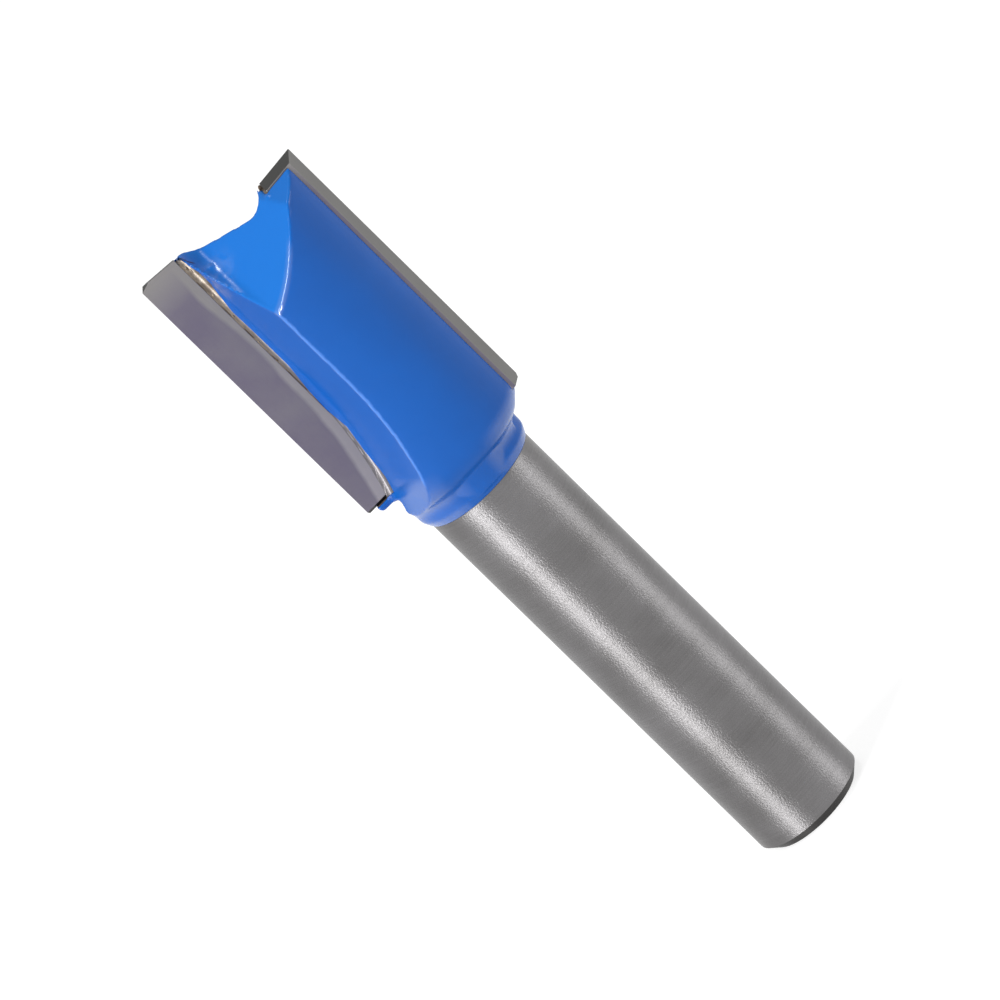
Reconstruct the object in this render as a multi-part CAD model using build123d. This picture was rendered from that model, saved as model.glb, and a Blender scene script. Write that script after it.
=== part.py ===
import os
from math import cos, radians, sin, tan

from build123d import *

os.makedirs("parts", exist_ok=True)

# Driving sizes, in millimetres and degrees. The bit stands on its shank's end, cutting end up.
cutting_diameter = 10.0
shank_diameter = 6.35
shank_length = 24.1
end_chamfer = 0.5

# The turned head and its shoulder.
head_diameter = 9.1
neck_diameter = 6.7
neck_length = 1.4
neck_taper = 0.5
foot_to_tips = 1.0
steel_below_tips = 0.45
backing_relief = 20.0
shoulder_angle = 60.0
shoulder_fillet = 0.8
shoulder_spare = 0.2

# The carbide tips and the solder that holds them.
tip_length = 16.2
tip_width = 2.2
tip_thickness = 1.0
hook_angle = 8.0
radial_relief = 18.0
end_relief = 13.0
end_dish = 5.0
braze_gap = 0.1
seat_ledge = 0.3

# The two gullets, milled by a bevelled wheel that lifts out above the neck.
gullet_corner = 2.3
gullet_rounding = 0.5
wall_angle = 76.0
wheel_radius = 22.0
run_out_length = 6.7

# The gashes across the end, which meet in a crest over the axis.
crest_depth = 1.08
gash_slope = 41.5
gash_turn = 42.8
gash_lip = 0.15
gash_rounding = 1.0

# The paint, and the bare ground strip that it leaves beside each tip.
paint_thickness = 0.1
bare_strip = 0.2

cutting_radius = cutting_diameter / 2
shank_radius = shank_diameter / 2
head_radius = head_diameter / 2
neck_radius = neck_diameter / 2

# The shoulder's rounding takes the room on the slope that its foot's fillet and the spare leave.
slope_length = (head_radius - neck_radius) / sin(radians(shoulder_angle))
slope_room = slope_length / tan(radians(shoulder_angle / 2))
shoulder_rounding = slope_room - shoulder_fillet - shoulder_spare

# A tip's rake face lies in the plane y = rake, and its cutting edge at x = -edge.
rake = cutting_radius * sin(radians(hook_angle))
edge = cutting_radius * cos(radians(hook_angle))
tip_inside = edge - tip_width

# Heights above the shank's end.
shoulder_foot = shank_length + neck_length
tip_bottom = shoulder_foot + foot_to_tips
overall_length = tip_bottom + tip_length
run_out_start = tip_bottom + run_out_length

# Cutting blocks run this far past the head on every side.
beyond = cutting_diameter


def block(x, y, z):
    """A box from its lowest to its highest corner, each given as a pair of limits."""
    size = (x[1] - x[0], y[1] - y[0], z[1] - z[0])
    return Pos(x[0], y[0], z[0]) * Box(*size, align=(Align.MIN, Align.MIN, Align.MIN))


def both(piece):
    """The piece for one flute and its copy for the other, half a turn round the axis."""
    return [piece, Rot(0, 0, 180) * piece]


def ring_edges(solid, radius, low, high):
    """The round edges of a turned solid with this radius, between two heights."""
    found = []
    for ring in solid.edges().filter_by(GeomType.CIRCLE):
        if abs(ring.radius - radius) < 1e-4 and low < ring.center().Z < high:
            found.append(ring)
    return found


def turned_head(coat):
    """The head, shoulder and neck as turned, grown by a coat that thins out at the shank."""
    head = head_radius + coat
    neck = neck_radius + coat
    drop = (head - neck) / tan(radians(shoulder_angle))
    foot = shoulder_foot - coat
    outline = Polyline(
        (0, 0, shank_length),
        (shank_radius + coat * 0.3, 0, shank_length),
        (neck, 0, shank_length + neck_taper),
        (neck, 0, foot),
        (head, 0, foot + drop),
        (head, 0, overall_length - steel_below_tips + coat),
        (0, 0, overall_length - steel_below_tips + coat),
        close=True,
    )
    turned = revolve(make_face(outline), Axis.Z)
    shoulder = ring_edges(turned, head, foot, foot + drop + 0.1)
    turned = fillet(shoulder, shoulder_rounding + coat)
    return fillet(ring_edges(turned, neck, foot - 0.1, foot + 0.1), shoulder_fillet)


def gullet(coat):
    """The space that the wheel leaves in front of a tip, less the coat on its walls."""
    slant = radians(wall_angle)
    side = rake - coat
    corner = -gullet_corner + coat / tan(slant) - coat / sin(slant)
    outside = -gullet_corner - beyond
    front = -cutting_diameter * 0.7
    outline = Polyline(
        (outside, side, run_out_start),
        (corner, side, run_out_start),
        (corner + (side - front) / tan(slant), front, run_out_start),
        (outside, front, run_out_start),
        close=True,
    )
    profile = make_face(outline)
    inner = profile.vertices().sort_by_distance((corner, side, run_out_start))[0]
    profile = fillet(inner, gullet_rounding - coat)
    along = extrude(profile, overall_length + beyond - run_out_start, dir=(0, 0, 1))
    wheel_axis = Axis((-gullet_corner - wheel_radius, 0, run_out_start), (0, 1, 0))
    run_out = revolve(profile, wheel_axis, 90)
    return along + run_out


def gash(coat):
    """The slanting cut across the end in front of a tip, down from the crest over the axis."""
    floor = Plane(
        origin=(0, 0, overall_length - crest_depth + coat / cos(radians(gash_slope))),
        x_dir=(sin(radians(gash_turn)), -cos(radians(gash_turn)), 0),
        z_dir=(
            -sin(radians(gash_slope)) * cos(radians(gash_turn)),
            -sin(radians(gash_slope)) * sin(radians(gash_turn)),
            cos(radians(gash_slope)),
        ),
    )
    above = floor * Box(4 * beyond, 4 * beyond, beyond, align=(Align.CENTER, Align.CENTER, Align.MIN))
    side = -tip_inside + braze_gap + gash_lip + coat
    ahead = block((side, 2 * beyond), (-beyond, beyond), (0, overall_length + beyond))
    cutter = above & ahead
    at_wall = [e for e in cutter.edges() if abs(e.center().X - side) < 1e-4]
    slanted = [e for e in at_wall if abs(e.tangent_at(0.5).Z) < 0.9]
    seam = min(slanted, key=lambda e: e.center().Z)
    return fillet(seam, gash_rounding - coat)


def above_end(relief, coat=0.0):
    """All above a plane that falls away behind a cutting corner and dishes to the axis."""
    face = Pos(-edge, rake, overall_length + coat) * Rot(-relief, end_dish, 0)
    return face * block((-beyond, 2 * beyond), (-beyond, beyond), (0, beyond))


def backing_slope(coat):
    """What is taken off the end of the steel behind a tip."""
    return above_end(backing_relief, coat)


def below_ledge(coat):
    """The shoulder cut back to the neck under a tip, up to the ledge that the tip stands on."""
    back = rake + tip_thickness + braze_gap - coat
    top = tip_bottom - seat_ledge - coat
    height = top - shank_length
    at_foot = Pos(0, 0, shank_length)
    core = at_foot * Cylinder(neck_radius + coat, height, align=(Align.CENTER, Align.CENTER, Align.MIN))
    return block((-beyond, 0), (0, back), (shank_length, top)) - core


def milled_head(coat=0.0):
    """The turned head with its gullets, gashes, slopes and ledges cut, before the seats."""
    head = turned_head(coat)
    for cut in (gullet, gash, backing_slope, below_ledge):
        for cutter in both(cut(coat)):
            head = head - cutter
    return head


def tip_space(gap):
    """The block that a tip fills, with a gap for solder behind it, inside it and under it."""
    inside = -tip_inside + gap
    back = rake + tip_thickness + gap
    return block((-beyond, inside), (rake, back), (tip_bottom - gap, overall_length))


def carbide_tip():
    """One tip, its outer side ground back from the cutting edge and its end to the back."""
    relief = block((-beyond, 0), (-beyond, beyond), (0, overall_length + beyond))
    outer = Pos(-edge, rake, 0) * Rot(0, 0, -hook_angle - radial_relief) * relief
    return tip_space(0) - outer - above_end(end_relief)


def bare_zone():
    """Where grinding has taken the paint off: the tip's faces and a strip beside the rake."""
    inside = -tip_inside + bare_strip
    depth = (rake - paint_thickness, rake + tip_thickness)
    return block((-beyond, inside), depth, (tip_bottom, overall_length + beyond))


def steel_body():
    """Shank and head, turned from one bar."""
    shank = Cylinder(shank_radius, shank_length, align=(Align.CENTER, Align.CENTER, Align.MIN))
    shank = chamfer(shank.edges().group_by(Axis.Z)[0], end_chamfer)
    body = shank + milled_head()
    for seat in both(tip_space(braze_gap)):
        body = body - seat
    return body


def braze_joint():
    """The solder between a tip and its seat, flush with the milled head."""
    return (tip_space(braze_gap) - tip_space(0)) & milled_head()


def paint_coat():
    """The coat over the head and neck, down to the bare shank."""
    coat = milled_head(paint_thickness) - milled_head()
    for tip in both(tip_space(0)):
        coat = coat - tip
    for bare in both(bare_zone()):
        coat = coat - bare
    return coat


tips = both(carbide_tip())
brazes = both(braze_joint())
export_step(steel_body(), "parts/steel_body.step")
export_step(paint_coat(), "parts/paint_coat.step")
for number, (tip, braze) in enumerate(zip(tips, brazes), start=1):
    export_step(tip, f"parts/carbide_tip_{number}.step")
    export_step(braze, f"parts/braze_joint_{number}.step")
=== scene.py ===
from math import cos, pi, radians, sin

import bmesh
import bpy
from mathutils import Matrix, Vector


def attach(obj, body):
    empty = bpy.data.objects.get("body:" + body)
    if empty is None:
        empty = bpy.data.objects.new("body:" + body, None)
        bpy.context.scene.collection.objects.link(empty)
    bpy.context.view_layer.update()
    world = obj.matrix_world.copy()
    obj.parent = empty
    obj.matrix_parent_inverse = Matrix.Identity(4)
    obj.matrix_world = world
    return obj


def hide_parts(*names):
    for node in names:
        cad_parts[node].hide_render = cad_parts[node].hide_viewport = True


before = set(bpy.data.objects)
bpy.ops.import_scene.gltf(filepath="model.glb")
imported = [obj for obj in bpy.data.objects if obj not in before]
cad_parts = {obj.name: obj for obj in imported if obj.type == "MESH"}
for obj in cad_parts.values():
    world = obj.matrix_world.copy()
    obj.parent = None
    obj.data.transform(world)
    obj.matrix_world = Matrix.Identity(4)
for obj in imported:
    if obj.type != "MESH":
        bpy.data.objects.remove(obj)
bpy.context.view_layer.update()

mm = 0.001


# The view. The bit lies across the picture from its cutting end at the upper left to its shank at
# the lower right, seen with a long lens from a little above the cutting end.
image_side = 1000
lens_pixels = 12474.9
film_width = 36
look_down = radians(17.0)
lean = radians(45.651)
camera_place = Vector((-0.013, -579.42, 199.67)) * mm

across = Vector((1, 0, 0))
ahead = Vector((0, cos(look_down), -sin(look_down)))
upright = Vector((0, sin(look_down), cos(look_down)))
camera_right = across * cos(lean) - upright * sin(lean)
camera_top = across * sin(lean) + upright * cos(lean)
camera_data = bpy.data.cameras.new("camera")
camera_data.sensor_width = film_width
camera_data.lens = film_width * lens_pixels / image_side
camera_data.clip_start = 0.01
camera_data.clip_end = 100
camera = bpy.data.objects.new("camera", camera_data)
camera.matrix_world = (
    Matrix.Translation(camera_place)
    @ Matrix((camera_right, camera_top, -ahead)).transposed().to_4x4()
)
bpy.context.scene.collection.objects.link(camera)
bpy.context.scene.camera = camera
bpy.context.scene.view_settings.view_transform = "Standard"


# The table. A plain pale sheet that runs far past the picture, white as the camera and a polished
# surface see it, with a soft shadow where the shank stands on it.
table_reach = 30
table_drop = 0.01 * mm
table_white = (0.8, 0.8, 0.8, 1)
table_shaded = (0.45, 0.45, 0.45, 1)
table_glow = 0.76
room_light = 0.36


def put(tree, kind, **settings):
    """Adds a node. A setting named after a socket gives its value, any other the node's own."""
    made = tree.nodes.new("ShaderNode" + kind)
    for name, value in settings.items():
        label = name.replace("_", " ")
        sockets = [s for s in made.inputs if s.name == label and s.enabled]
        if sockets:
            sockets[0].default_value = value
        else:
            setattr(made, name, value)
    return made


def join(tree, source, target):
    """Links an output to an input."""
    tree.links.new(source, target)


def seen_directly(tree):
    """1 for what the camera sees straight, in a reflection or through glass."""
    path = put(tree, "LightPath")
    seen = put(tree, "Math", operation="MAXIMUM")
    join(tree, path.outputs["Is Camera Ray"], seen.inputs[0])
    join(tree, path.outputs["Is Glossy Ray"], seen.inputs[1])
    either = put(tree, "Math", operation="MAXIMUM")
    join(tree, seen.outputs[0], either.inputs[0])
    join(tree, path.outputs["Is Transmission Ray"], either.inputs[1])
    return either.outputs[0]


def empty_material(name):
    """A material with no nodes yet."""
    material = bpy.data.materials.new(name)
    material.use_nodes = True
    material.node_tree.nodes.clear()
    return material


def shown(name, shape):
    """The finished mesh as an object in the scene, with its place in its mesh."""
    mesh = bpy.data.meshes.new(name)
    shape.to_mesh(mesh)
    shape.free()
    made = bpy.data.objects.new(name, mesh)
    bpy.context.scene.collection.objects.link(made)
    return made


table_material = empty_material("table_white")
tree = table_material.node_tree
plain = put(tree, "BsdfDiffuse", Color=table_white)
shaded = put(tree, "BsdfDiffuse", Color=table_shaded)
glow = put(tree, "Emission", Strength=table_glow)
bright = put(tree, "AddShader")
join(tree, shaded.outputs[0], bright.inputs[0])
join(tree, glow.outputs[0], bright.inputs[1])
chosen = put(tree, "MixShader")
join(tree, seen_directly(tree), chosen.inputs[0])
join(tree, plain.outputs[0], chosen.inputs[1])
join(tree, bright.outputs[0], chosen.inputs[2])
join(tree, chosen.outputs[0], put(tree, "OutputMaterial").inputs[0])

shape = bmesh.new()
bmesh.ops.create_circle(shape, cap_ends=True, segments=48, radius=table_reach)
bmesh.ops.translate(shape, verts=shape.verts, vec=(0, 0, -table_drop))
table = shown("table", shape)
table.data.materials.append(table_material)

room = bpy.data.worlds.new("room")
room.use_nodes = True
room.node_tree.nodes.clear()
tree = room.node_tree
level = put(tree, "MapRange", To_Min=room_light, To_Max=1.0)
join(tree, seen_directly(tree), level.inputs[0])
backing = put(tree, "Background")
join(tree, level.outputs[0], backing.inputs["Strength"])
join(tree, backing.outputs[0], put(tree, "OutputWorld").inputs[0])
bpy.context.scene.world = room


# The lamps. A tall soft panel at the left draws the bright streak down the shank, and a wider and
# weaker one at the right draws the second band. A small one at the upper left lights the crest of
# the gash, and one nearly overhead lights the wet paint in its corner.
lamps_face = 25 * mm
# Each lamp: how far round from the camera's side and how far up, in degrees, then its distance,
# its width and its height in metres, and its brightness.
lamps = (
    ("left_panel", -46, 12, 0.5, 0.12, 0.24, 23.0),
    ("right_panel", 74, 12, 0.5, 0.2, 0.24, 7.0),
    ("top_panel", -75, 50, 0.6, 0.16, 0.16, 12.0),
    ("high_panel", 160, 80, 0.6, 0.1, 0.1, 14.0),
)


def panel_lamp(name, azimuth, elevation, distance, width, height, brightness):
    """A soft panel that faces the middle of the bit."""
    data = bpy.data.lights.new(name, "AREA")
    data.shape = "RECTANGLE"
    data.size = width
    data.size_y = height
    data.energy = brightness * pi * width * height
    lamp = bpy.data.objects.new(name, data)
    turn = radians(azimuth)
    rise = radians(elevation)
    away = Vector((sin(turn) * cos(rise), -cos(turn) * cos(rise), sin(rise)))
    lamp.location = Vector((0, 0, lamps_face)) + away * distance
    lamp.rotation_euler = away.to_track_quat("Z", "Y").to_euler()
    bpy.context.scene.collection.objects.link(lamp)


for lamp in lamps:
    panel_lamp(*lamp)


# The steel bar: one piece of carbon steel, turned to its head, shoulder and neck, hardened and then
# ground on the shank between two wheels, which leaves fine rings round it and a satin shine. Solder
# smears its bare seats. Shade is painted dark on the faces at its end that look downward, the end
# chamfer among them.
steel_dark = (0.165, 0.16, 0.16, 1)
steel_light = (0.255, 0.248, 0.252, 1)
# Shade painted on the downward faces at the shank's end.
steel_painted_shade = (0.05, 0.048, 0.047, 1)
solder_smear = (0.3, 0.262, 0.225, 1)
solder_scorched = (0.17, 0.14, 0.115, 1)
ground_seat = (0.2, 0.19, 0.2, 1)
bare_head_from = 26.0 * mm
smears_fade_from = 34.0 * mm
smears_full_from = 39.5 * mm


def group_with(name, inputs, outputs):
    """A node group with its named inputs and outputs, and its two end nodes."""
    group = bpy.data.node_groups.new(name, "ShaderNodeTree")
    for label, kind, value in inputs:
        socket = group.interface.new_socket(label, in_out="INPUT", socket_type="NodeSocket" + kind)
        socket.default_value = value
    for label, kind in outputs:
        group.interface.new_socket(label, in_out="OUTPUT", socket_type="NodeSocket" + kind)
    return group, group.nodes.new("NodeGroupInput"), group.nodes.new("NodeGroupOutput")


def mixed(tree, share, first, second):
    """One colour going over to another with a share. Each colour is a value or an output."""
    blend = put(tree, "Mix", data_type="RGBA")
    for socket, colour in ((blend.inputs[6], first), (blend.inputs[7], second)):
        if isinstance(colour, tuple):
            socket.default_value = colour
        else:
            join(tree, colour, socket)
    join(tree, share, blend.inputs[0])
    return blend.outputs[2]


def ramp(tree, value, start, end, low=0.0, high=1.0):
    """A value that goes from low to high while another goes from start to end."""
    change = put(tree, "MapRange", From_Min=start, From_Max=end, To_Min=low, To_Max=high)
    join(tree, value, change.inputs[0])
    return change.outputs[0]


def reckon(tree, operation, *terms):
    """The result of a sum on two or three terms. Each term is a number or an output."""
    made = put(tree, "Math", operation=operation)
    for socket, term in zip(made.inputs, terms):
        if isinstance(term, (int, float)):
            socket.default_value = term
        else:
            join(tree, term, socket)
    return made.outputs[0]


def parts_of(tree, vector):
    """The X, Y and Z of a vector, as three outputs."""
    split = put(tree, "SeparateXYZ")
    join(tree, vector, split.inputs[0])
    return split.outputs[0], split.outputs[1], split.outputs[2]


def place_group(tree, group, **values):
    """Puts a node group in a material with its own values."""
    made = tree.nodes.new("ShaderNodeGroup")
    made.node_tree = group
    for name, value in values.items():
        made.inputs[name.replace("_", " ")].default_value = value
    return made


# Grinding marks: fine lines along one direction, a grain between them, and wide soft patches.
ground_face, entry, leave = group_with(
    "ground_face",
    [
        ("Position", "Vector", (0, 0, 0)),
        ("Stretch", "Vector", (1, 1, 1)),
        ("Grain per mm", "Float", 12.0),
        ("Patches per mm", "Float", 0.3),
    ],
    [("Lines", "Float"), ("Grain", "Float"), ("Patches", "Float")],
)
in_mm = put(ground_face, "VectorMath", operation="SCALE", Scale=1000.0)
join(ground_face, entry.outputs["Position"], in_mm.inputs[0])
stretched = put(ground_face, "VectorMath", operation="MULTIPLY")
join(ground_face, in_mm.outputs[0], stretched.inputs[0])
join(ground_face, entry.outputs["Stretch"], stretched.inputs[1])
lines = put(ground_face, "TexNoise", Scale=1.0, Detail=3.0, Roughness=0.6)
join(ground_face, stretched.outputs[0], lines.inputs["Vector"])
join(ground_face, lines.outputs[0], leave.inputs["Lines"])
grain = put(ground_face, "TexNoise", Detail=2.0, Roughness=0.6)
join(ground_face, in_mm.outputs[0], grain.inputs["Vector"])
join(ground_face, entry.outputs["Grain per mm"], grain.inputs["Scale"])
join(ground_face, grain.outputs[0], leave.inputs["Grain"])
patches = put(ground_face, "TexNoise", Detail=4.0, Roughness=0.55)
join(ground_face, in_mm.outputs[0], patches.inputs["Vector"])
join(ground_face, entry.outputs["Patches per mm"], patches.inputs["Scale"])
join(ground_face, patches.outputs[0], leave.inputs["Patches"])

ground_steel = empty_material("ground_steel")
tree = ground_steel.node_tree
surface = put(
    tree,
    "BsdfPrincipled",
    Metallic=1.0,
    Anisotropic=0.9,
    Anisotropic_Rotation=0.25,
)
join(tree, surface.outputs[0], put(tree, "OutputMaterial").inputs[0])
where = put(tree, "TexCoord")
marks = place_group(
    tree, ground_face, Stretch=(0.25, 0.25, 14.0), Grain_per_mm=11.0, Patches_per_mm=0.22
)
join(tree, where.outputs["Object"], marks.inputs["Position"])
place_z = parts_of(tree, where.outputs["Object"])[2]
faces_z = parts_of(tree, where.outputs["Normal"])[2]
tone = reckon(tree, "MULTIPLY_ADD", marks.outputs["Lines"], 0.3, marks.outputs["Patches"])
bare = mixed(tree, ramp(tree, tone, 0.45, 0.85), steel_dark, steel_light)
# Painted shade: faces that look downward, the end chamfer and the end, are darkened.
end_faces_painted_shade = ramp(tree, faces_z, -0.2, -0.5)
bare = mixed(tree, end_faces_painted_shade, bare, steel_painted_shade)
smear_marks = place_group(tree, ground_face, Grain_per_mm=5.0, Patches_per_mm=1.6)
join(tree, where.outputs["Object"], smear_marks.inputs["Position"])
smeared = ramp(tree, smear_marks.outputs["Patches"], 0.42, 0.6)
smeared = mixed(tree, smeared, solder_scorched, solder_smear)
clean = ramp(tree, place_z, smears_full_from, smears_fade_from)
smeared = mixed(tree, clean, smeared, ground_seat)
on_head = ramp(tree, place_z, bare_head_from, bare_head_from + 0.1 * mm)
join(tree, mixed(tree, on_head, bare, smeared), surface.inputs["Base Color"])
gloss = ramp(tree, marks.outputs["Patches"], 0.3, 0.7, 0.4, 0.48)
join(tree, gloss, surface.inputs["Roughness"])
height = reckon(tree, "MULTIPLY_ADD", marks.outputs["Lines"], 0.35, marks.outputs["Grain"])
relief = put(tree, "Bump", Distance=0.03 * mm)
join(tree, ramp(tree, on_head, 0.0, 1.0, 0.6, 0.12), relief.inputs["Strength"])
join(tree, height, relief.inputs["Height"])
join(tree, relief.outputs[0], surface.inputs["Normal"])

steel_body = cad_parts["steel_body"]
steel_body.data.materials.clear()
steel_body.data.materials.append(ground_steel)


# The carbide tips: strips of cemented carbide, pressed and sintered, brazed into their seats and
# then ground on the face, the outer side and the end. The first one's corner is chipped off, and
# the heat of the brazing left a purple tint along each cutting edge.
carbide_purple = (0.15, 0.135, 0.185, 1)
carbide_grey = (0.235, 0.225, 0.225, 1)
carbide_pale = (0.3, 0.28, 0.31, 1)
carbide_side = (0.158, 0.155, 0.15, 1)
# Shade painted on the tips' end faces.
carbide_painted_shade = (0.06, 0.06, 0.058, 1)
cutting_radius = 5 * mm
rake = 0.696 * mm
tips_top = 42.7 * mm
tips_foot = 26.5 * mm
tips_out = 4.951 * mm
edge_break = 0.02 * mm
foot_break = 0.16 * mm
sharp_edge = radians(20)
weld_distance = 0.002 * mm
# The chip: how far it runs in along the end, how deep it starts, and the way its facet faces.
chip_length = 0.62 * mm
chip_depth = 0.05 * mm
chip_faces = (-0.33, -0.1, 1)
# Where the purple heat tint begins: how far down the tip, and how far out, as shares.
tint_border = (
    (0.0, 0.62),
    (0.18, 0.646),
    (0.37, 0.602),
    (0.56, 0.628),
    (0.74, 0.658),
    (0.86, 0.73),
    (1.0, 0.84),
)


def curve_through(tree, value, spots):
    """A value read off a smooth curve. Each spot is a share of the way and the value there."""
    made = put(tree, "FloatCurve")
    curve = made.mapping.curves[0]
    curve.points[0].location = spots[0]
    curve.points[1].location = spots[-1]
    for spot in spots[1:-1]:
        curve.points.new(*spot)
    made.mapping.update()
    join(tree, value, made.inputs["Value"])
    return made.outputs[0]


def merged(node):
    """A copy of a CAD node's mesh with its loose triangles joined."""
    copy = bmesh.new()
    copy.from_mesh(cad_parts[node].data)
    bmesh.ops.remove_doubles(copy, verts=copy.verts, dist=weld_distance)
    return copy


def slice_off(shape, point, outward):
    """Takes off what lies beyond a plane and closes the cut."""
    whole = shape.verts[:] + shape.edges[:] + shape.faces[:]
    bmesh.ops.bisect_plane(shape, geom=whole, plane_co=point, plane_no=outward, clear_outer=True)
    bmesh.ops.holes_fill(shape, edges=[e for e in shape.edges if e.is_boundary])


def ground_edges(shape, width):
    """Breaks every sharp edge of a flat-sided piece by a narrow rounding."""
    bmesh.ops.dissolve_limit(
        shape, angle_limit=radians(1), verts=shape.verts, edges=shape.edges
    )
    sharp = [e for e in shape.edges if e.calc_face_angle(0) > sharp_edge]
    bmesh.ops.bevel(
        shape, geom=sharp, offset=width, affect="EDGES", segments=2, profile=0.5, material=-1
    )
    return shape


carbide = empty_material("carbide")
tree = carbide.node_tree
surface = put(tree, "BsdfPrincipled", Metallic=1.0)
join(tree, surface.outputs[0], put(tree, "OutputMaterial").inputs[0])
where = put(tree, "TexCoord")
marks = place_group(
    tree, ground_face, Stretch=(6.0, 6.0, 0.8), Grain_per_mm=14.0, Patches_per_mm=0.35
)
join(tree, where.outputs["Object"], marks.inputs["Position"])
place_x, _, place_z = parts_of(tree, where.outputs["Object"])
faces_x, _, faces_z = parts_of(tree, where.outputs["Normal"])
down = ramp(tree, place_z, tips_top, tips_foot)
out = reckon(tree, "DIVIDE", reckon(tree, "ABSOLUTE", place_x), cutting_radius)
past = reckon(tree, "SUBTRACT", out, curve_through(tree, down, tint_border))
wander = reckon(tree, "MULTIPLY_ADD", marks.outputs["Patches"], 0.08, -0.04)
tinted = ramp(tree, reckon(tree, "ADD", past, wander), -0.012, 0.03)
tinted = reckon(tree, "MULTIPLY", tinted, ramp(tree, down, 0.02, 0.13))
inner = mixed(tree, down, carbide_grey, carbide_pale)
face = mixed(tree, tinted, inner, carbide_purple)
clouded = ramp(tree, marks.outputs["Patches"], 0.35, 0.65, 0.0, 0.35)
face = mixed(tree, clouded, face, carbide_grey)
across_side = ramp(tree, reckon(tree, "ABSOLUTE", faces_x), 0.6, 0.9)
face = mixed(tree, across_side, face, carbide_side)
# Painted shade: faces that look up or down, the tips' ends, are given a dark colour.
end_faces_painted_shade = ramp(tree, reckon(tree, "ABSOLUTE", faces_z), 0.3, 0.6)
face = mixed(tree, end_faces_painted_shade, face, carbide_painted_shade)
join(tree, face, surface.inputs["Base Color"])
gloss = ramp(tree, marks.outputs["Patches"], 0.3, 0.7, 0.4, 0.52)
join(tree, gloss, surface.inputs["Roughness"])
relief = put(tree, "Bump", Strength=0.35, Distance=0.01 * mm)
join(tree, marks.outputs["Lines"], relief.inputs["Height"])
join(tree, relief.outputs[0], surface.inputs["Normal"])

for number in (1, 2):
    side = 1 if number == 1 else -1
    shape = merged(f"carbide_tip_{number}")
    foot = Vector((0, side * rake, tips_foot + foot_break))
    slice_off(shape, foot, (0, -side, -1))
    if number == 1:
        chip = Vector((-tips_out + chip_length, rake, tips_top - chip_depth))
        slice_off(shape, chip, chip_faces)
    tip = shown(f"ground_tip_{number}", ground_edges(shape, edge_break))
    tip.data.materials.append(carbide)
    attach(tip, "root")
    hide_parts(f"carbide_tip_{number}")


# The solder: a layer of silver and copper alloy between each tip and its seat, run in hot. Beads
# of it stand on the seat's edge. At the first tip it is drawn back from the end, where a black gap
# shows.
braze_tan = (0.24, 0.195, 0.15, 1)
braze_brown = (0.1, 0.075, 0.055, 1)
solder_drawn_back = 0.6 * mm
bead_squash = 0.4
bead_stretch = 1.5
# The beads: how far out from the axis, how far below the tips' top, and their size.
solder_beads = (
    (2.56, 0.95, 0.1),
    (2.45, 1.2, 0.14),
    (2.38, 1.6, 0.1),
    (2.6, 2.86, 0.07),
    (2.66, 4.3, 0.05),
    (2.68, 6.1, 0.045),
    (2.72, 7.4, 0.05),
)
# The second tip has one more, at its inner corner.
corner_bead = (2.67, 0.42, 0.12)


def half_turn(part):
    """Turns a mesh half round the axis, to the other tip."""
    bmesh.ops.rotate(part, verts=part.verts, cent=(0, 0, 0), matrix=Matrix.Rotation(pi, 3, "Z"))
    return part


def bead(place, radii):
    """A ball drawn out to three radii."""
    made = bmesh.new()
    bmesh.ops.create_uvsphere(made, u_segments=24, v_segments=12, radius=1)
    bmesh.ops.scale(made, verts=made.verts, vec=radii)
    bmesh.ops.translate(made, verts=made.verts, vec=place)
    return made


def add_to(whole, part):
    """Puts one mesh in with another and lets go of it."""
    carried = bpy.data.meshes.new("carried")
    part.to_mesh(carried)
    part.free()
    whole.from_mesh(carried)
    bpy.data.meshes.remove(carried)


braze = empty_material("braze")
tree = braze.node_tree
surface = put(tree, "BsdfPrincipled", Metallic=0.7, Roughness=0.45)
join(tree, surface.outputs[0], put(tree, "OutputMaterial").inputs[0])
where = put(tree, "TexCoord")
marks = place_group(tree, ground_face, Grain_per_mm=8.0, Patches_per_mm=1.2)
join(tree, where.outputs["Object"], marks.inputs["Position"])
burnt = ramp(tree, marks.outputs["Patches"], 0.46, 0.62)
join(tree, mixed(tree, burnt, braze_brown, braze_tan), surface.inputs["Base Color"])
relief = put(tree, "Bump", Strength=0.3, Distance=0.02 * mm)
join(tree, marks.outputs["Grain"], relief.inputs["Height"])
join(tree, relief.outputs[0], surface.inputs["Normal"])
for number in (1, 2):
    shape = merged(f"braze_joint_{number}")
    if number == 1:
        slice_off(shape, (0, 0, tips_top - solder_drawn_back), (0, 0, 1))
    for out, below, size in solder_beads if number == 1 else (*solder_beads, corner_bead):
        place = Vector((-out * mm, rake, tips_top - below * mm))
        ball = bead(place, Vector((size, size * bead_squash, size * bead_stretch)) * mm)
        add_to(shape, half_turn(ball) if number == 2 else ball)
    joint = shown(f"solder_{number}", shape)
    joint.data.materials.append(braze)
    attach(joint, "root")
    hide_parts(f"braze_joint_{number}")


# The paint: a thick glossy blue coat over the head and neck, dipped or sprayed on before the tips
# were ground. It runs round every edge, pools in the corners, and ends in a wavering line beside
# each tip, where the grinding wheel cut through it.
blue_thin = (0.009, 0.084, 0.36, 1)
blue_full = (0.008, 0.114, 0.48, 1)
# Painted light: the brighter blue given to faces that look upward.
blue_painted_toplight = (0.005, 0.152, 0.57, 1)
# Painted highlight along the edge between each gullet and its land.
blue_painted_highlight = (0.04, 0.24, 0.8, 1)
# Painted shadow under the coat's cut edge beside each tip.
blue_painted_shadow = (0.006, 0.02, 0.1, 1)
paint_grain = 0.085 * mm
paint_flow = 5
paint_foot = 24.1 * mm
paint_crease = radians(38)
paint_shine = 0.25
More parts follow.
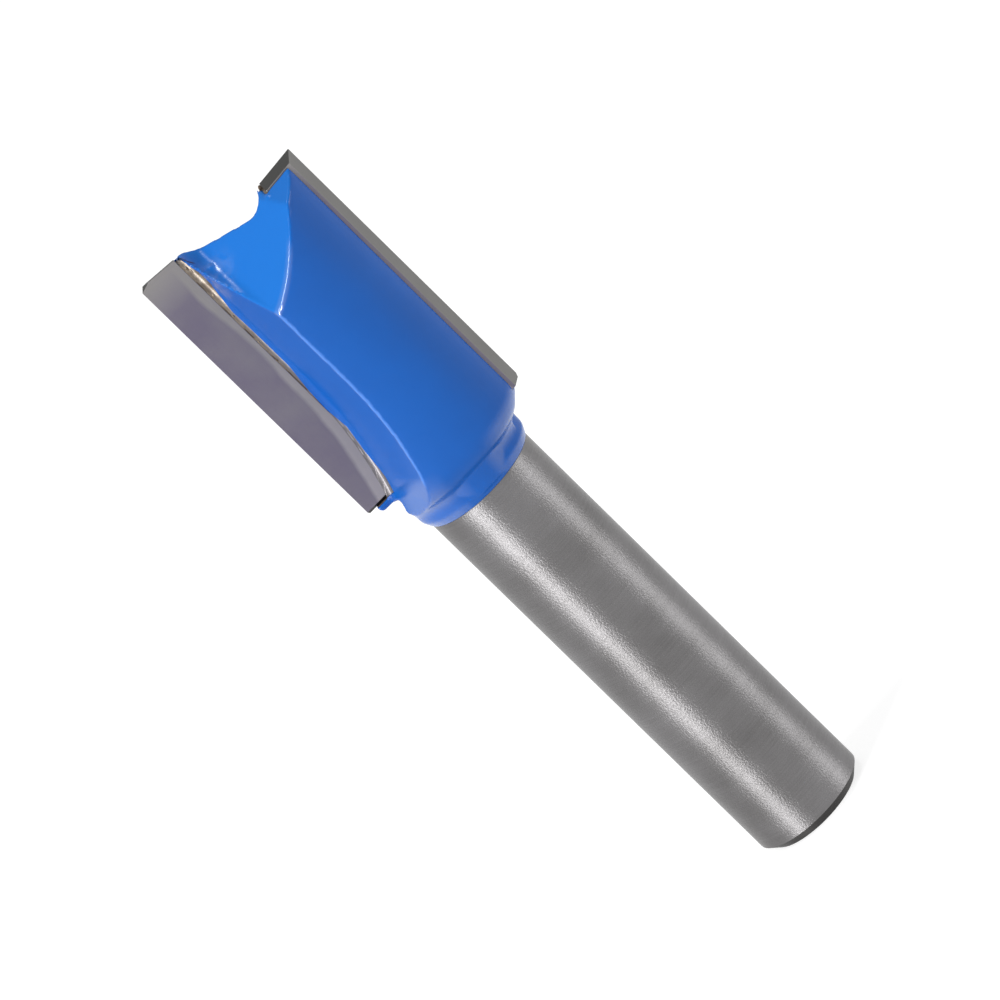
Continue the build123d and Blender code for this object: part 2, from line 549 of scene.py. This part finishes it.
# As far out as this, a cutting block is clear of the bit.
clear_of_bit = 7 * mm
# The strip of paint over each tip's inner edge, and the tip's seat, from corner to corner.
strip_low = (-3.5 * mm, 0.6 * mm, tips_foot - 0.3 * mm)
strip_high = (-2.4 * mm, 1.3 * mm, tips_top - 0.9 * mm)
seat_low = (-clear_of_bit, rake - 0.05 * mm, tips_foot)
seat_high = (-2.651 * mm, 1.796 * mm, tips_top + mm)
# The space of the wheel that ground the rake face starts this far behind the axis, and goes this
# far into the paint.
wheel_from = 0.3 * mm
wheel_depth = 0.8 * mm
# The line where the paint ends beside a tip: how far out from the axis, and how far below the top.
paint_line = (
    (2.62, -0.3),
    (2.45, 0.45),
    (2.44, 0.85),
    (2.29, 1.5),
    (2.27, 2.0),
    (2.42, 3.0),
    (2.55, 4.07),
    (2.52, 5.39),
    (2.51, 7.97),
    (2.70, 9.6),
    (2.76, 10.83),
    (2.66, 12.21),
    (2.91, 13.75),
    (3.03, 14.93),
    (3.22, 16.2),
)
# Where the paint gathered as it dried: the middle of each drop, and its three radii.
paint_drops = (
    ((-1.78, 0.32, 40.92), (0.28, 0.3, 0.28)),
    ((2.63, -1.95, 42.0), (0.2, 0.2, 0.2)),
)
# The edge between gullet and land, where a highlight is painted into the coat and the coat is
# glossier: its lowest and highest points, and x over y at shares of the way up. It slants where the
# milling wheel ran out. Its width is in x over y too, full up to the first number and gone at the
# second.
edge_from = 26.8 * mm
edge_to = 38.6 * mm
edge_width = (0.008, 0.03)
edge_fade = 0.4 * mm
edge_shine = 0.6
edge_route = (
    (0.0, 0.515),
    (0.1, 0.409),
    (0.19, 0.35),
    (0.27, 0.304),
    (0.36, 0.27),
    (0.54, 0.243),
    (1.0, 0.243),
)
# A shadow is painted along the coat's cut edge, as far as this from the rake face, and from this
# far out.
edge_shadow_width = (0.03 * mm, 0.1 * mm)
edge_shadow_from = (2.1 * mm, 2.2 * mm)
# The head's round outside starts at this distance from the axis and is full at the next.
rim_from = 4.3 * mm
rim_full = 4.5 * mm
# The paint dried glossiest in the corner of the first gash, round this place and as far as this,
# and a little at the left of the neck.
wet_middle = (-1.55, -0.2, 40.6)
wet_reach = 1.5
wet_shine = 0.9
neck_wet_top = 27.4 * mm
neck_wet_across = (-1.1 * mm, -1.9 * mm)
neck_wet_ahead = (0.1 * mm, 1.3 * mm)
neck_wetness = 0.35
# The plane of a gash's floor under its coat: its normal, and its distance from the bit's foot. The
# crest where it meets the head's outside is so wide, and fades between these places to the right.
gash_normal = (-0.486, -0.45, 0.749)
gash_height = 31.26 * mm
crest_width = (0.06 * mm, 0.16 * mm)
crest_end = (1.4 * mm, 1.9 * mm)
# The run of paint that fills the groove over the neck at the front: its foot and its top, each
# with a middle, a radius and a height.
run_foot = ((0.1, -1.2), 2.24, 24.4)
run_top = ((0.3, -2.6), 2.03, 27.2)


def box_between(low, high):
    """A block from its lowest to its highest corner."""
    made = bmesh.new()
    bmesh.ops.create_cube(made, size=1)
    low = Vector(low)
    high = Vector(high)
    bmesh.ops.scale(made, verts=made.verts, vec=high - low)
    bmesh.ops.translate(made, verts=made.verts, vec=(low + high) / 2)
    return made


def slanting_run(foot, top):
    """A cone between two level circles that need not lie one above the other."""
    made = bmesh.new()
    bmesh.ops.create_cone(
        made, cap_ends=True, segments=96, radius1=foot[1] * mm, radius2=top[1] * mm, depth=mm
    )
    lower = [v for v in made.verts if v.co.z < 0]
    upper = [v for v in made.verts if v.co.z > 0]
    for ring, (middle, _, height) in ((lower, foot), (upper, top)):
        level = Vector((0, 0, ring[0].co.z))
        bmesh.ops.translate(made, verts=ring, vec=Vector((*middle, height)) * mm - level)
    return made


def settle(made):
    """Gives the object the mesh that its modifiers make, in place of its old one."""
    depsgraph = bpy.context.evaluated_depsgraph_get()
    depsgraph.update()
    final = bpy.data.meshes.new_from_object(made.evaluated_get(depsgraph))
    made.modifiers.clear()
    made.data = final


def ground_away():
    """The space beside one tip where the wheel took the paint off, bounded by the wavering line."""
    cut = bmesh.new()
    line = []
    for out, down in paint_line:
        line.append(cut.verts.new((-out * mm, wheel_from, tips_top - down * mm)))
    far_top = cut.verts.new((-clear_of_bit, wheel_from, line[0].co.z))
    far_foot = cut.verts.new((-clear_of_bit, wheel_from, line[-1].co.z))
    cut.edges.new((line[0], far_top))
    cut.edges.new((far_top, far_foot))
    cut.edges.new((far_foot, line[-1]))
    edges = []
    for upper, lower in zip(line, line[1:]):
        edges.append(cut.edges.new((upper, lower)))
    bmesh.ops.subdivide_edges(cut, edges=edges, cuts=4, smooth=1.0)
    bmesh.ops.contextual_create(cut, geom=cut.edges[:])
    grown = bmesh.ops.extrude_face_region(cut, geom=cut.faces[:])
    moved = [v for v in grown["geom"] if isinstance(v, bmesh.types.BMVert)]
    bmesh.ops.translate(cut, verts=moved, vec=(0, wheel_depth, 0))
    bmesh.ops.recalc_face_normals(cut, faces=cut.faces)
    return cut


def all_hold(tree, *masks):
    """A mask that holds where all of these do."""
    held = masks[0]
    for mask in masks[1:]:
        held = reckon(tree, "MULTIPLY", held, mask)
    return held


# The coat is modelled as the whole painted head, which lies outside the steel by the coat's
# thickness. Two strips carry the paint over each tip's inner edge to where the wheel stopped.
shape = merged("steel_body")
slice_off(shape, (0, 0, paint_foot), (0, 0, -1))
add_to(shape, merged("paint_coat"))
for number in (1, 2):
    strip = box_between(strip_low, strip_high)
    add_to(shape, half_turn(strip) if number == 2 else strip)
for place, radii in paint_drops:
    add_to(shape, bead(Vector(place) * mm, Vector(radii) * mm))
add_to(shape, slanting_run(run_foot, run_top))
painted_head = shown("painted_head", shape)
flow = painted_head.modifiers.new("flow", "REMESH")
flow.mode = "VOXEL"
flow.voxel_size = paint_grain
flow.use_smooth_shade = True
even = painted_head.modifiers.new("even", "SMOOTH")
even.factor = 0.5
even.iterations = paint_flow
settle(painted_head)

# The wheel's spaces and the tips' seats are then cut out of it.
cutting_blocks = []
for number in (1, 2):
    spaces = {"wheel_mark": ground_away(), "seat_mark": box_between(seat_low, seat_high)}
    for name, space in spaces.items():
        cutting_blocks.append(shown(f"{name}_{number}", half_turn(space) if number == 2 else space))
for block in cutting_blocks:
    cut = painted_head.modifiers.new("cut", "BOOLEAN")
    cut.operation = "DIFFERENCE"
    cut.solver = "EXACT"
    cut.object = block
settle(painted_head)
for block in cutting_blocks:
    bpy.data.objects.remove(block)
shape = bmesh.new()
shape.from_mesh(painted_head.data)
for edge in shape.edges:
    edge.smooth = len(edge.link_faces) == 2 and edge.calc_face_angle(0) < paint_crease
for face in shape.faces:
    face.smooth = True
shape.to_mesh(painted_head.data)
shape.free()

blue_paint = empty_material("blue_paint")
tree = blue_paint.node_tree
surface = put(tree, "BsdfPrincipled", Specular_IOR_Level=paint_shine)
join(tree, surface.outputs[0], put(tree, "OutputMaterial").inputs[0])
where = put(tree, "TexCoord")
marks = place_group(tree, ground_face, Grain_per_mm=1.6, Patches_per_mm=0.16)
join(tree, where.outputs["Object"], marks.inputs["Position"])
in_mm = put(tree, "VectorMath", operation="SCALE", Scale=1000.0)
join(tree, where.outputs["Object"], in_mm.inputs[0])
waver = put(tree, "TexNoise", Scale=1.6, Detail=2.0, Roughness=0.6)
join(tree, in_mm.outputs[0], waver.inputs["Vector"])
place_x, place_y, place_z = parts_of(tree, where.outputs["Object"])
faces_x, _, faces_z = parts_of(tree, where.outputs["Normal"])
out_x = reckon(tree, "ABSOLUTE", place_x)
out_y = reckon(tree, "ABSOLUTE", place_y)
coat = mixed(tree, marks.outputs["Patches"], blue_thin, blue_full)
# Painted light: faces that look upward get a brighter blue.
coat = mixed(tree, ramp(tree, faces_z, 0.2, 0.7), coat, blue_painted_toplight)

# Painted highlight: the lighter line down the edge between each gullet and its land, where the coat
# is also glossier.
rise = ramp(tree, place_z, edge_from, edge_to)
route = curve_through(tree, rise, edge_route)
stray = reckon(tree, "MULTIPLY_ADD", waver.outputs[0], 0.06, -0.03)
aside = reckon(tree, "DIVIDE", place_x, place_y)
beside = reckon(tree, "ADD", reckon(tree, "SUBTRACT", aside, route), stray)
squared = reckon(tree, "MULTIPLY_ADD", place_y, place_y, reckon(tree, "MULTIPLY", place_x, place_x))
at_rim = ramp(tree, reckon(tree, "SQRT", squared), rim_from, rim_full)
edge_gloss_and_painted_highlight = all_hold(
    tree,
    ramp(tree, reckon(tree, "ABSOLUTE", beside), edge_width[1], edge_width[0]),
    at_rim,
    ramp(tree, place_z, edge_to, edge_to - edge_fade),
    ramp(tree, place_z, edge_from, edge_from + edge_fade),
)
coat = mixed(tree, reckon(tree, "MULTIPLY", edge_gloss_and_painted_highlight, 0.5), coat, blue_painted_highlight)

# Painted shadow along the coat's cut edge beside each tip.
to_left = reckon(tree, "SIGN", reckon(tree, "MULTIPLY", place_x, -1.0))
from_face = reckon(tree, "SUBTRACT", reckon(tree, "MULTIPLY", place_y, to_left), rake)
edge_painted_shadow = all_hold(
    tree,
    ramp(tree, reckon(tree, "ABSOLUTE", from_face), edge_shadow_width[1], edge_shadow_width[0]),
    ramp(tree, out_x, *edge_shadow_from),
    ramp(tree, place_z, tips_foot - 0.1 * mm, tips_foot),
)
join(tree, mixed(tree, edge_painted_shadow, coat, blue_painted_shadow), surface.inputs["Base Color"])

# The crest of each gash, where its floor meets the land. Each side of the bit is measured as the
# front is: x to the right as seen from that side, and y away from it.
turned = reckon(tree, "MULTIPLY", reckon(tree, "SIGN", place_y), -1.0)
seen_x = reckon(tree, "MULTIPLY", place_x, turned)
from_gash = reckon(tree, "MULTIPLY", seen_x, gash_normal[0])
from_gash = reckon(tree, "MULTIPLY_ADD", out_y, -gash_normal[1], from_gash)
from_gash = reckon(tree, "MULTIPLY_ADD", place_z, gash_normal[2], from_gash)
from_gash = reckon(tree, "ABSOLUTE", reckon(tree, "SUBTRACT", from_gash, gash_height))
crest = all_hold(
    tree,
    ramp(tree, from_gash, crest_width[1], crest_width[0]),
    at_rim,
    ramp(tree, seen_x, crest_end[1], crest_end[0]),
)

# The wet corner of the gash, and the left of the neck.
away = put(tree, "VectorMath", operation="DISTANCE")
join(tree, where.outputs["Object"], away.inputs[0])
away.inputs[1].default_value = Vector(wet_middle) * mm
near = put(
    tree, "MapRange", interpolation_type="SMOOTHSTEP", From_Min=wet_reach * mm, From_Max=0.0
)
join(tree, away.outputs["Value"], near.inputs[0])
wet = all_hold(tree, near.outputs[0], ramp(tree, waver.outputs[0], 0.38, 0.58))
wet_neck = all_hold(
    tree,
    ramp(tree, place_z, neck_wet_top, neck_wet_top - 0.5 * mm),
    ramp(tree, seen_x, *neck_wet_across),
    ramp(tree, out_y, *neck_wet_ahead, 0.0, neck_wetness),
)
glossy = reckon(tree, "MAXIMUM", reckon(tree, "MAXIMUM", wet, crest), wet_neck)

# The coat shines least where it is seen aslant, and more on what hangs sideways. The shader's own
# level is only for where these masks are left out.
aslant = put(tree, "LayerWeight", Blend=0.5)
shine = ramp(tree, aslant.outputs["Facing"], 0.35, 0.75, 0.18, 0.02)
hanging = ramp(tree, faces_z, -0.05, -0.4, 0.0, 0.6)
sideways = ramp(tree, reckon(tree, "ABSOLUTE", faces_x), 0.25, 0.5)
shine = reckon(tree, "MULTIPLY_ADD", hanging, sideways, shine)
shine = reckon(tree, "MULTIPLY_ADD", glossy, wet_shine, shine)
shine = reckon(tree, "MULTIPLY_ADD", edge_gloss_and_painted_highlight, edge_shine, shine)
join(tree, shine, surface.inputs["Specular IOR Level"])
join(tree, ramp(tree, glossy, 0.0, 1.0, 0.24, 0.18), surface.inputs["Roughness"])
relief = put(tree, "Bump", Strength=0.25, Distance=0.03 * mm)
join(tree, marks.outputs["Grain"], relief.inputs["Height"])
join(tree, relief.outputs[0], surface.inputs["Normal"])
painted_head.data.materials.clear()
painted_head.data.materials.append(blue_paint)
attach(painted_head, "root")
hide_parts("paint_coat")
